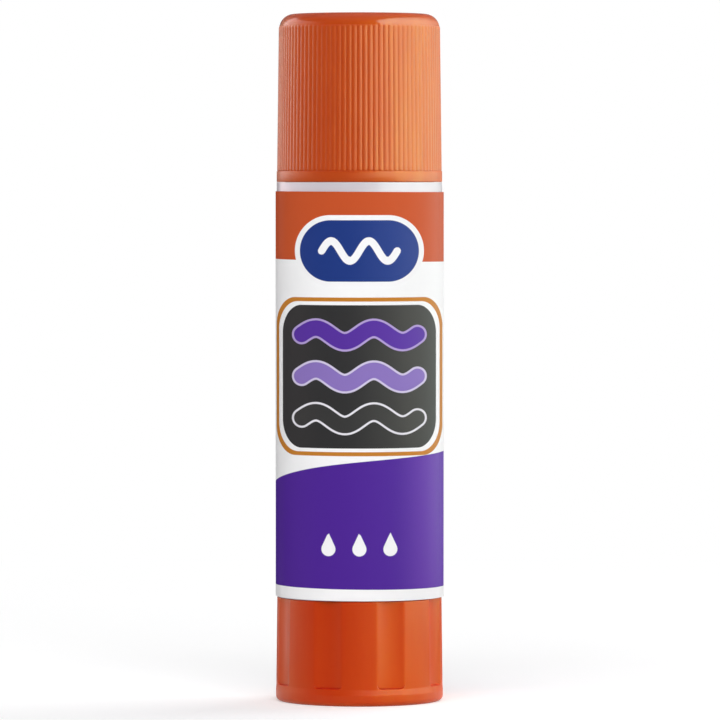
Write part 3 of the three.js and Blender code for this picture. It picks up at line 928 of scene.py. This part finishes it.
# %% Varnish
slack = add(
    tree, "ShaderNodeTexNoise", {"Vector": place, "Scale": per_metre(9.0), "Detail": 2.0}
)
rippled = add(
    tree,
    "ShaderNodeBump",
    {"Height": slack.outputs["Fac"], "Strength": 0.5, "Distance": 0.02 * MM},
)
varnish = add(
    tree, "ShaderNodeTexNoise", {"Vector": place, "Scale": per_metre(0.5), "Detail": 3.0}
)
grained = add(
    tree,
    "ShaderNodeBump",
    {
        "Height": varnish.outputs["Fac"],
        "Normal": rippled.outputs["Normal"],
        "Strength": 0.15,
        "Distance": 0.001 * MM,
    },
)
varnish_dullness = add(
    tree,
    "ShaderNodeMapRange",
    {"Value": varnish.outputs["Fac"], **NOISE_REACH, "To Min": 0.28, "To Max": 0.35},
)
film_shader = add(
    tree,
    "ShaderNodeBsdfPrincipled",
    {
        "Base Color": printed,
        "Roughness": varnish_dullness.outputs["Result"],
        "IOR": POLYPROPYLENE_IOR,
        "Specular IOR Level": 0.14,
        "Specular Tint": linear("#FFF0E4"),
        "Normal": grained.outputs["Normal"],
    },
)
bare_ink = add(
    tree, "ShaderNodeBsdfDiffuse", {"Color": printed, "Normal": grained.outputs["Normal"]}
)
varnish_cover = add(tree, "ShaderNodeAttribute", attribute_name="varnish")
film_surface = add(
    tree,
    "ShaderNodeMixShader",
    {0: varnish_cover.outputs["Fac"], 1: bare_ink.outputs["BSDF"], 2: film_shader.outputs["BSDF"]},
)
tree.links.new(film_surface.outputs["Shader"], output.inputs["Surface"])

# %% [markdown]
# ## Cast glue
#
# The glue is a stiff gel of water, soap and adhesive, dyed violet. It looks waxy: light
# goes some millimetres into it before it comes back, its gloss is dull with a skin where
# it has dried, and tiny bubbles of the casting show as pits.

# %% Glue gel
violet_glue, tree, output, place = new_finish("cast_violet_glue")
clouds = add(
    tree, "ShaderNodeTexNoise", {"Vector": place, "Scale": per_metre(4.0), "Detail": 4.0}
)
tinted = add(
    tree,
    "ShaderNodeMix",
    {FACTOR: clouds.outputs["Fac"], COLOUR_A: linear("#5B3BA6"), COLOUR_B: linear("#7A5CC0")},
    data_type="RGBA",
)
pits = add(
    tree, "ShaderNodeTexVoronoi", {"Vector": place, "Scale": per_metre(1.4)}, feature="F1"
)
pit_depth = add(
    tree,
    "ShaderNodeMapRange",
    {"Value": pits.outputs["Distance"], "From Min": 0.0, "From Max": 0.22},
)
skinned = add(
    tree, "ShaderNodeTexNoise", {"Vector": place, "Scale": per_metre(0.7), "Detail": 3.0}
)
pitted = add(
    tree,
    "ShaderNodeBump",
    {"Height": pit_depth.outputs["Result"], "Strength": 0.35, "Distance": 0.05 * MM},
)
waxy = add(
    tree,
    "ShaderNodeBump",
    {
        "Height": skinned.outputs["Fac"],
        "Normal": pitted.outputs["Normal"],
        "Strength": 0.4,
        "Distance": 0.02 * MM,
    },
)
gel_dullness = add(
    tree,
    "ShaderNodeMapRange",
    {"Value": skinned.outputs["Fac"], **NOISE_REACH, "To Min": 0.38, "To Max": 0.55},
)
gel_shader = add(
    tree,
    "ShaderNodeBsdfPrincipled",
    {
        "Base Color": tinted.outputs[MIXED],
        "Roughness": gel_dullness.outputs["Result"],
        "IOR": 1.42,
        "Normal": waxy.outputs["Normal"],
        "Subsurface Weight": 0.4,
        "Subsurface Radius": (1.2, 0.7, 2.0),
        "Subsurface Scale": MM,
    },
)
tree.links.new(gel_shader.outputs["BSDF"], output.inputs["Surface"])

# %% [markdown]
# ## Every piece on its body
#
# A dressed piece stands for a solid, which is then hidden, and rides the same body, so
# the cap lifts, the base turns and the glue rises with the joints. The screw and the
# carrier keep their solids and only take the white plastic.

# %% Ride, replace and finish
DRESSED = [
    (turning_base, "turning_base", "base_and_screw", "orange_polypropylene", [base_polypropylene]),
    (barrel, "barrel", "barrel_body", "white_polypropylene", [white_polypropylene]),
    (label, "label", "barrel_body", "printed_film", [printed_film]),
    (glue, "glue", "carrier_and_glue", "violet_glue", [violet_glue]),
    (cap, "cap", "cap_body", "orange_polypropylene", [polished_cap, stoned_cap, dull_cap]),
]
for piece, node, body, slot, finishes in DRESSED:
    for finish in finishes:
        piece.data.materials.append(finish)
    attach(piece, body)
    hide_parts(node)
for node in ("spindle", "carrier"):
    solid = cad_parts[node]
    solid.data.materials.clear()
    solid.data.materials.append(white_polypropylene)
print(len(DRESSED), "pieces dressed")

# %% [markdown]
# ## Floor, backdrop and light
#
# The stick stands on a plain white floor before a white background, lit as for a
# catalogue: a wide softbox in front, a weaker one on the left, one on the right that
# reaches round behind the stick, a faint one at the back, and a small white card that
# lies on the floor at the right. What glossy plastic mirrors is arranged apart from that.
# The photographer hangs dark cloth wherever no reflection is wanted, and a softbox shines
# brightest near the edge that its lamp stands behind. So the lamps here give the light
# that falls on the stick, and a bowl round the set carries all that is mirrored.

# %% Rays that meet the background
def background_rays(tree):
    """1 for the rays that are to meet the white background: the camera's own, and those
    mirrored or let through by a surface. Those that light the stick stay at 0."""
    path = add(tree, "ShaderNodeLightPath")
    seen = path.outputs["Is Camera Ray"]
    for kind in ("Is Glossy Ray", "Is Transmission Ray"):
        either = add(tree, "ShaderNodeMath", {0: seen, 1: path.outputs[kind]}, operation="MAXIMUM")
        seen = either.outputs["Value"]
    return seen


# %% Floor
FLOOR_HALF = 2500
FLOOR_LIFT = 0.34
NEAR, FAR = 120, 330

floor_mesh = bpy.data.meshes.new("floor")
floor_corners = [(-1, -1), (1, -1), (1, 1), (-1, 1)]
floor_mesh.from_pydata(
    [(x * FLOOR_HALF * MM, y * FLOOR_HALF * MM, 0) for x, y in floor_corners], [], [(0, 1, 2, 3)]
)
floor = bpy.data.objects.new("floor", floor_mesh)
bpy.context.scene.collection.objects.link(floor)
floor_finish, tree, output, place = new_finish("matt_white_floor")
mottle = add(tree, "ShaderNodeTexNoise", {"Vector": place, "Scale": per_metre(40.0)})
floor_colour = add(
    tree,
    "ShaderNodeMix",
    {FACTOR: mottle.outputs["Fac"], COLOUR_A: linear("#E9E9EA"), COLOUR_B: linear("#ECECEC")},
    data_type="RGBA",
)
matt = add(tree, "ShaderNodeBsdfDiffuse", {"Color": floor_colour.outputs[MIXED]})
lift_light = add(tree, "ShaderNodeEmission", {"Strength": FLOOR_LIFT})
lifted = add(
    tree, "ShaderNodeAddShader", {0: matt.outputs["BSDF"], 1: lift_light.outputs["Emission"]}
)
white_light = add(tree, "ShaderNodeEmission", {"Strength": 1.0})
away = add(tree, "ShaderNodeVectorMath", {0: place}, operation="LENGTH")
far_off = add(
    tree,
    "ShaderNodeMapRange",
    {"Value": away.outputs["Value"], "From Min": NEAR * MM, "From Max": FAR * MM},
    interpolation_type="SMOOTHSTEP",
)
shown = add(
    tree,
    "ShaderNodeMixShader",
    {0: far_off.outputs["Result"], 1: lifted.outputs["Shader"], 2: white_light.outputs["Emission"]},
)
surface = add(
    tree,
    "ShaderNodeMixShader",
    {0: background_rays(tree), 1: matt.outputs["BSDF"], 2: shown.outputs["Shader"]},
)
tree.links.new(surface.outputs["Shader"], output.inputs["Surface"])
floor_mesh.materials.append(floor_finish)
print("the floor fades into white from", NEAR, "to", FAR, "mm off")

# %% White surround
AMBIENT = 0.13
world = bpy.data.worlds.new("white_surround")
bpy.context.scene.world = world
world.use_nodes = True
tree = world.node_tree
tree.nodes.clear()
strength = add(
    tree,
    "ShaderNodeMapRange",
    {"Value": background_rays(tree), "To Min": AMBIENT, "To Max": 1.0},
)
surround = add(
    tree, "ShaderNodeBackground", {"Color": (1, 1, 1, 1), "Strength": strength.outputs["Result"]}
)
add(tree, "ShaderNodeOutputWorld", {"Surface": surround.outputs["Background"]})

# %% Lamps
def direction(azimuth):
    """The way from the stick to a place round it. Azimuth 0 is towards the camera and 90
    is towards +X, in degrees."""
    a = math.radians(azimuth)
    return np.array([math.sin(a), -math.cos(a), 0.0])


def softbox(name, azimuth, distance, width, height, middle, radiance, aim):
    """A flat lamp turned to face a height on the stick's axis, in millimetres. Its
    radiance is 1 where a white card would look white."""
    lamp = bpy.data.lights.new(name, "AREA")
    lamp.shape = "RECTANGLE"
    lamp.size, lamp.size_y = width * MM, height * MM
    lamp.energy = 4 * radiance * lamp.size * lamp.size_y
    holder = bpy.data.objects.new(name, lamp)
    bpy.context.scene.collection.objects.link(holder)
    at = direction(azimuth) * distance
    at[2] = middle
    holder.location = at * MM
    to_stick = np.array([0, 0, aim]) - at
    holder.rotation_mode = "QUATERNION"
    holder.rotation_quaternion = Vector(to_stick).to_track_quat("-Z", "Y")
    holder.visible_camera = holder.visible_glossy = False


LAMPS = [
    # Name, azimuth, distance, width, height, height of its middle, radiance, height aimed at
    ("right_floor_card", 75, 80, 110, 110, 0.5, 0.8, 600),
    ("right_edge_softbox", 130, 1300, 1200, 1000, 600, 2.89, 60),
    ("front_softbox", 0, 1500, 1500, 1500, 1150, 2.62, 60),
    ("left_softbox", -45, 1500, 1000, 1200, 1000, 1.1, 60),
    ("rear_softbox", 180, 1500, 2000, 1200, 1400, 0.4, 60),
]
for lamp in LAMPS:
    softbox(*lamp)
print("lamps:", [lamp[0] for lamp in LAMPS])

# %% [markdown]
# ## What the gloss mirrors
#
# The bowl is a ring of cloth on the floor, close round the stick, and a dome over the
# set. Each of its points stores how bright it is. Two panels shine in it. The one on the
# right reaches 62 degrees up and dims towards the rear. Its near edge is sharp high up,
# where the round of the cap's top mirrors it, and soft low down, where the upright walls
# do. The one on the left is weaker and a little rosier, and grows brighter towards the
# rear before it ends. White cards on the floor carry both on: far out on the right, and
# close to the stick on the left. Only reflections meet the bowl. The camera and the lamps
# look through it.

# %% Bowl
BOWL_RADIUS = 1000
BOWL_LIFT = 0.4
BOWL_RINGS = (32, 90, 140, 190, 240, 300, 400, 600)
BOWL_STEP = 3

dome = [
    (BOWL_RADIUS * math.cos(a), BOWL_RADIUS * math.sin(a) + BOWL_LIFT)
    for a in np.radians(np.arange(0, 91, BOWL_STEP))
]
bowl_line = np.array([(ring, BOWL_LIFT) for ring in BOWL_RINGS] + dome)
bowl = turned("reflection_bowl", bowl_line, 180, closed=False)
spots = np.empty(len(bowl.data.vertices) * 3)
bowl.data.vertices.foreach_get("co", spots)
spots = spots.reshape(-1, 3) / MM
azimuth = np.degrees(np.arctan2(spots[:, 0], -spots[:, 1]))
reach = np.hypot(spots[:, 0], spots[:, 1])
tangent = spots[:, 2] / reach
elevation = np.degrees(np.arctan(tangent))
on_floor = spots[:, 2] < BOWL_LIFT + HAIR

# %% Light of the panels
# Each edge is where a ramp starts and ends: in degrees of azimuth or elevation, in
# millimetres from the axis for the cards, and as a share of the panel's own top
CLOTH = 0.08
RIGHT_PANEL = 7.8
RIGHT_COLOUR = (0.92, 1.04, 0.94)
RIGHT_AZIMUTH = 78
RIGHT_HEIGHT = 1.88
RIGHT_WIDEST = 86
RIGHT_TOP_EDGE = (0.95, 1.08)
RIGHT_NEAR_EDGE = (28, 33)
RIGHT_LOW_EDGE = (-28, 36)
RIGHT_FAR_EDGE = (56, 166)
LOW_DOWN = (4, 18)
LEFT_PANEL = 2.9
LEFT_COLOUR = (1.2, 0.96, 0.99)
LEFT_NEAR_EDGE = (45, 125)
LEFT_FAR_EDGE = (138, 149)
LEFT_TOP_EDGE = (37, 42)
REAR_GLOW, REAR_EDGE = 0.15, (110, 150)
TOP_GLOW, TOP_EDGE = 0.5, (50, 70)
RIGHT_CARD_EDGE, RIGHT_CARD_SIDE = (140, 420), (35, 75)
LEFT_CARD, LEFT_CARD_EDGE, LEFT_CARD_END = 0.6, (80, 110), (200, 300)

low_down = 1 - ramp(elevation, *LOW_DOWN)
near_start, near_end = (
    high + (low - high) * low_down for high, low in zip(RIGHT_NEAR_EDGE, RIGHT_LOW_EDGE)
)
from_middle = np.clip(np.abs(azimuth - RIGHT_AZIMUTH), 0, RIGHT_WIDEST)
share_of_top = tangent / (RIGHT_HEIGHT * np.cos(np.radians(from_middle)))
right_panel = ramp(azimuth, near_start, near_end) * (1 - ramp(azimuth, *RIGHT_FAR_EDGE))
right_panel *= 1 - ramp(share_of_top, *RIGHT_TOP_EDGE)
right_card = ramp(reach, *RIGHT_CARD_EDGE) * ramp(azimuth, *RIGHT_CARD_SIDE)
right_panel *= np.where(on_floor, right_card, 1)
left_panel = ramp(-azimuth, *LEFT_NEAR_EDGE) * (1 - ramp(-azimuth, *LEFT_FAR_EDGE))
left_panel *= 1 - ramp(elevation, *LEFT_TOP_EDGE)
left_card = ramp(reach, *LEFT_CARD_EDGE) * (1 - ramp(reach, *LEFT_CARD_END))
left_panel *= np.where(on_floor, LEFT_CARD * left_card, 1)
glow = REAR_GLOW * ramp(np.abs(azimuth), *REAR_EDGE) + TOP_GLOW * ramp(elevation, *TOP_EDGE)
shone = np.ones((len(spots), 4))
for channel, (right, left) in enumerate(zip(RIGHT_COLOUR, LEFT_COLOUR)):
    panels = RIGHT_PANEL * right * right_panel + LEFT_PANEL * left * left_panel
    shone[:, channel] = CLOTH + panels + glow * ~on_floor
light = bowl.data.attributes.new("light", "FLOAT_COLOR", "POINT")
light.data.foreach_set("color", shone.ravel().astype(np.float32))
print("the brightest spot of the bowl is %.1f times white" % shone.max())

# %% Panels and cloth
panels_and_cloth, tree, output, place = new_finish("softbox_panels_and_dark_cloth")
stored = add(tree, "ShaderNodeAttribute", attribute_name="light")
weave = add(tree, "ShaderNodeTexNoise", {"Vector": place, "Scale": per_metre(300)})
evenness = add(
    tree, "ShaderNodeMapRange", {"Value": weave.outputs["Fac"], "To Min": 0.95, "To Max": 1.05}
)
mirrored = add(
    tree,
    "ShaderNodeEmission",
    {"Color": stored.outputs["Color"], "Strength": evenness.outputs["Result"]},
)
tree.links.new(mirrored.outputs["Emission"], output.inputs["Surface"])
panels_and_cloth.cycles.emission_sampling = "NONE"
bowl.data.materials.append(panels_and_cloth)
bowl.visible_camera = bowl.visible_diffuse = bowl.visible_shadow = False
bowl.visible_transmission = bowl.visible_volume_scatter = False
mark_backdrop(floor, bowl)

# %% [markdown]
# ## The camera
#
# The photograph was taken with a long lens from just over three quarters of the stick's
# height, looking very slightly down, so the upright edges stay parallel and the cap's
# top doesn't show.

# %% Camera
CAMERA_DISTANCE = 895
CAMERA_HEIGHT = 77.85
AIM_HEIGHT = 51.1
CAMERA_SIDE = 0.09
FIELD_WIDTH = 108
SENSOR = 36

camera_data = bpy.data.cameras.new("camera")
camera_data.sensor_width = SENSOR
camera_data.lens = SENSOR * CAMERA_DISTANCE / FIELD_WIDTH
camera_data.clip_start, camera_data.clip_end = 0.05, 20
camera = bpy.data.objects.new("camera", camera_data)
bpy.context.scene.collection.objects.link(camera)
camera.location = (CAMERA_SIDE * MM, -CAMERA_DISTANCE * MM, CAMERA_HEIGHT * MM)
tilt = math.atan2(CAMERA_HEIGHT - AIM_HEIGHT, CAMERA_DISTANCE)
camera.rotation_euler = (math.pi / 2 - tilt, 0, 0)
bpy.context.scene.camera = camera
bpy.context.scene.view_settings.view_transform = "Standard"
print("the camera looks %.1f degrees down" % math.degrees(tilt))

# %% Compare the sizes
visual_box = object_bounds()
sizes = {"cad": [list(c) for c in cad_box], "visual": [list(c) for c in visual_box]}
for name, (low, high) in sizes.items():
    print(name, "box in mm:", [round((h - l) / MM, 2) for l, h in zip(low, high)])
